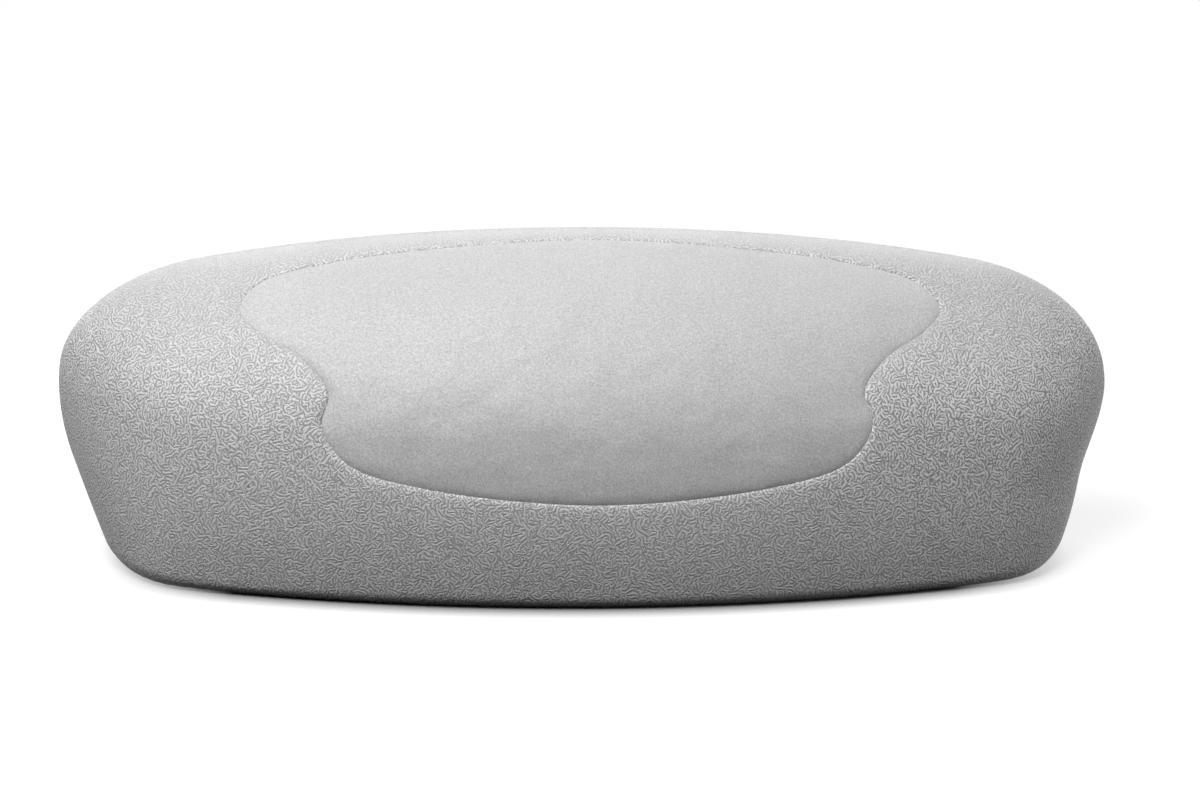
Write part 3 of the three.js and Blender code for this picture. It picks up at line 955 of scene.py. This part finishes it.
def make_floor(bounce_grey, lit_grey, glow, painted_contact_reach, lit_radius, white_radius):
    """A white floor: lit about the pillow, with its shadow and a painted shadow along the front
    edge where the pillow meets it, and plain white farther out.
    """
    bpy.ops.mesh.primitive_plane_add(size=FLOOR_SIZE)
    floor = bpy.context.object
    floor.name = "floor"
    material = bpy.data.materials.new("floor")
    material.use_nodes = True
    nodes = Nodes(material)
    nodes.tree.nodes.clear()
    bounce, lit = (nodes.add("ShaderNodeBsdfDiffuse") for _ in range(2))
    bounce.inputs["Color"].default_value = (bounce_grey,) * 3 + (1.0,)
    lit.inputs["Color"].default_value = (lit_grey,) * 3 + (1.0,)
    open_sky = nodes.add("ShaderNodeAmbientOcclusion", samples=16)
    open_sky.inputs["Distance"].default_value = painted_contact_reach
    lift, white = (nodes.add("ShaderNodeEmission") for _ in range(2))
    # Painted shadow: the floor's glow is darkened where the pillow is near, along the front edge
    # only, fading out toward the ends.
    aside = nodes.add("ShaderNodeMath", operation="ABSOLUTE")
    nodes.link(nodes.share(nodes.place(), "X"), aside.inputs[0])
    painted_shadow_along_front = nodes.remap(aside.outputs["Value"], *PAINTED_CONTACT_SPAN, 1.0, 0.0)
    painted_shadow_by_nearness = nodes.remap(open_sky.outputs["AO"], *PAINTED_CONTACT_OPEN, 1.0, 0.0)
    shade = nodes.math("MULTIPLY", painted_shadow_by_nearness, painted_shadow_along_front)
    nodes.link(nodes.remap(shade, 0.0, 1.0, glow, 0.0), lift.inputs["Strength"])
    white.inputs["Strength"].default_value = 1.0
    about = nodes.add("ShaderNodeAddShader")
    nodes.link(lit.outputs["BSDF"], about.inputs[0])
    nodes.link(lift.outputs["Emission"], about.inputs[1])
    radius = nodes.add("ShaderNodeVectorMath", operation="LENGTH")
    nodes.link(nodes.place(), radius.inputs[0])
    outside = nodes.remap(radius.outputs["Value"], lit_radius, white_radius, 0.0, 1.0)
    seen = nodes.blend(outside, about.outputs["Shader"], white.outputs["Emission"])
    surface = nodes.blend(white_to_the_eye(nodes.tree), bounce.outputs["BSDF"], seen)
    output = nodes.add("ShaderNodeOutputMaterial")
    nodes.link(surface, output.inputs["Surface"])
    floor.data.materials.append(material)


def make_world(fill):
    """White where it is seen, and a faint fill light elsewhere."""
    world = bpy.data.worlds.new("studio")
    bpy.context.scene.world = world
    world.use_nodes = True
    tree = world.node_tree
    tree.nodes.clear()
    dim, white = (tree.nodes.new("ShaderNodeBackground") for _ in range(2))
    dim.inputs["Strength"].default_value = fill
    white.inputs["Strength"].default_value = 1.0
    for node in (dim, white):
        node.inputs["Color"].default_value = (1.0, 1.0, 1.0, 1.0)
    mix = tree.nodes.new("ShaderNodeMixShader")
    output = tree.nodes.new("ShaderNodeOutputWorld")
    tree.links.new(white_to_the_eye(tree), mix.inputs["Fac"])
    tree.links.new(dim.outputs["Background"], mix.inputs[1])
    tree.links.new(white.outputs["Background"], mix.inputs[2])
    tree.links.new(mix.outputs["Shader"], output.inputs["Surface"])


def make_softbox(name, azimuth, elevation, distance, size, power, glints=True):
    """A square lamp aimed at the pillow. Azimuth 0 is in front of it and 90 is to its right.

    One without glints lights the skin but is left out of reflections.
    """
    a, e = math.radians(azimuth), math.radians(elevation)
    away = Vector((math.cos(e) * math.sin(a), -math.cos(e) * math.cos(a), math.sin(e)))
    lamp = bpy.data.lights.new(name, "AREA")
    lamp.shape = "SQUARE"
    lamp.size = size
    lamp.energy = power
    obj = bpy.data.objects.new(name, lamp)
    obj.location = Vector(LAMP_AIM) + away * distance
    obj.rotation_euler = away.to_track_quat("Z", "Y").to_euler()
    obj.visible_glossy = glints
    bpy.context.scene.collection.objects.link(obj)


def make_camera(elevation, yaw, roll, distance, target, pixels_per_mm):
    """The photograph's view: angles in degrees, and the distance and the target in millimetres."""
    e, a, k = math.radians(elevation), math.radians(yaw), math.radians(roll)
    away = Vector((-math.sin(a) * math.cos(e), -math.cos(a) * math.cos(e), math.sin(e)))
    right = (-away).cross(Vector((0, 0, 1))).normalized()
    up = right.cross(-away)
    right, up = right * math.cos(k) + up * math.sin(k), up * math.cos(k) - right * math.sin(k)
    data = bpy.data.cameras.new("camera")
    data.sensor_width = 36.0
    data.lens = pixels_per_mm * distance / PHOTO_WIDTH * data.sensor_width
    data.clip_start, data.clip_end = 0.01, 50.0
    camera = bpy.data.objects.new("camera", data)
    place = Vector(to_frame(target)) + away * distance * MM
    turned = Matrix((right, up, away)).transposed().to_4x4()
    camera.matrix_world = Matrix.Translation(place) @ turned
    bpy.context.scene.collection.objects.link(camera)
    bpy.context.scene.camera = camera


# The painted shadow along the front edge reaches 12 mm out over the floor.
make_floor(
    bounce_grey=0.01, lit_grey=0.3, glow=0.75, painted_contact_reach=12 * MM, lit_radius=0.3, white_radius=0.55
)
make_world(fill=0.01)
make_softbox("key", azimuth=311, elevation=60, distance=1.3, size=0.7, power=14.4)
make_softbox("top", azimuth=350, elevation=75, distance=1.3, size=0.7, power=4.4)
make_softbox("side", azimuth=88, elevation=10, distance=5.0, size=3.0, power=86.0, glints=False)
make_softbox("back", azimuth=180, elevation=32, distance=5.0, size=3.0, power=160.0, glints=False)
make_softbox("left", azimuth=275, elevation=45, distance=1.3, size=0.7, power=1.5)
make_camera(
    elevation=18.0,
    yaw=5.313,
    roll=1.462,
    distance=1325.0,
    target=(2.56, 46.74, 57.85),
    pixels_per_mm=2.99,
)
bpy.context.scene.view_settings.view_transform = "Standard"
